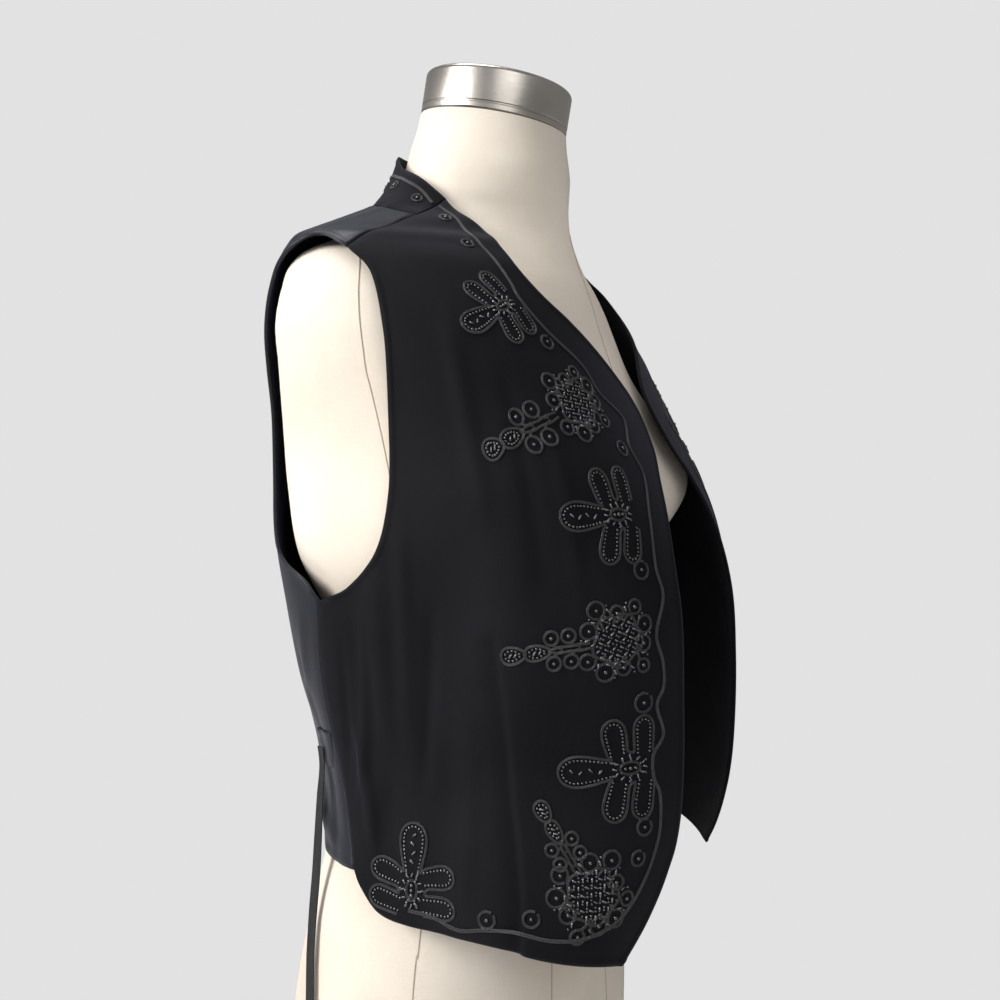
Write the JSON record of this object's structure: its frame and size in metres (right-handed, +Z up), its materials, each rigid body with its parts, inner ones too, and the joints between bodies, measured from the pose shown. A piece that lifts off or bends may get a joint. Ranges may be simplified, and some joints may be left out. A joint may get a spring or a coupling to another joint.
{
  "type": "embroidered folk vest on a dress form",
  "caption": "Sleeveless black folk vest with braided and beaded fronts, satin back and waist ties, worn open on a plain limbless dress form with a flat base.",
  "frame": {"origin": "centre of the dress form's flat base, below the neck", "axes": "+Z up, the form faces -Y, and the wearer's right is -X"},
  "size_m": [0.3402, 0.3012, 0.7871],
  "materials": {
    "cream_linen": "plain weave, matt",
    "brushed_nickel": "brushed",
    "black_wool": "fine twill, soft sheen",
    "black_satin": "satin sheen",
    "black_ribbon": "ribbed ribbon",
    "black_braid": "two-ribbed soutache"
  },
  "bodies": {
    "root": {"form_torso": "cream_linen", "neck_cap": "brushed_nickel", "front_right": "black_wool", "front_left": "black_wool", "back": "black_satin", "neck_band": "black_wool", "belt_right": "black_satin", "belt_left": "black_satin", "tie_right": "black_ribbon", "tie_left": "black_ribbon", "border_right": "black_braid", "border_left": "black_braid", "border_band": "black_braid"}
  },
  "joints": []
}
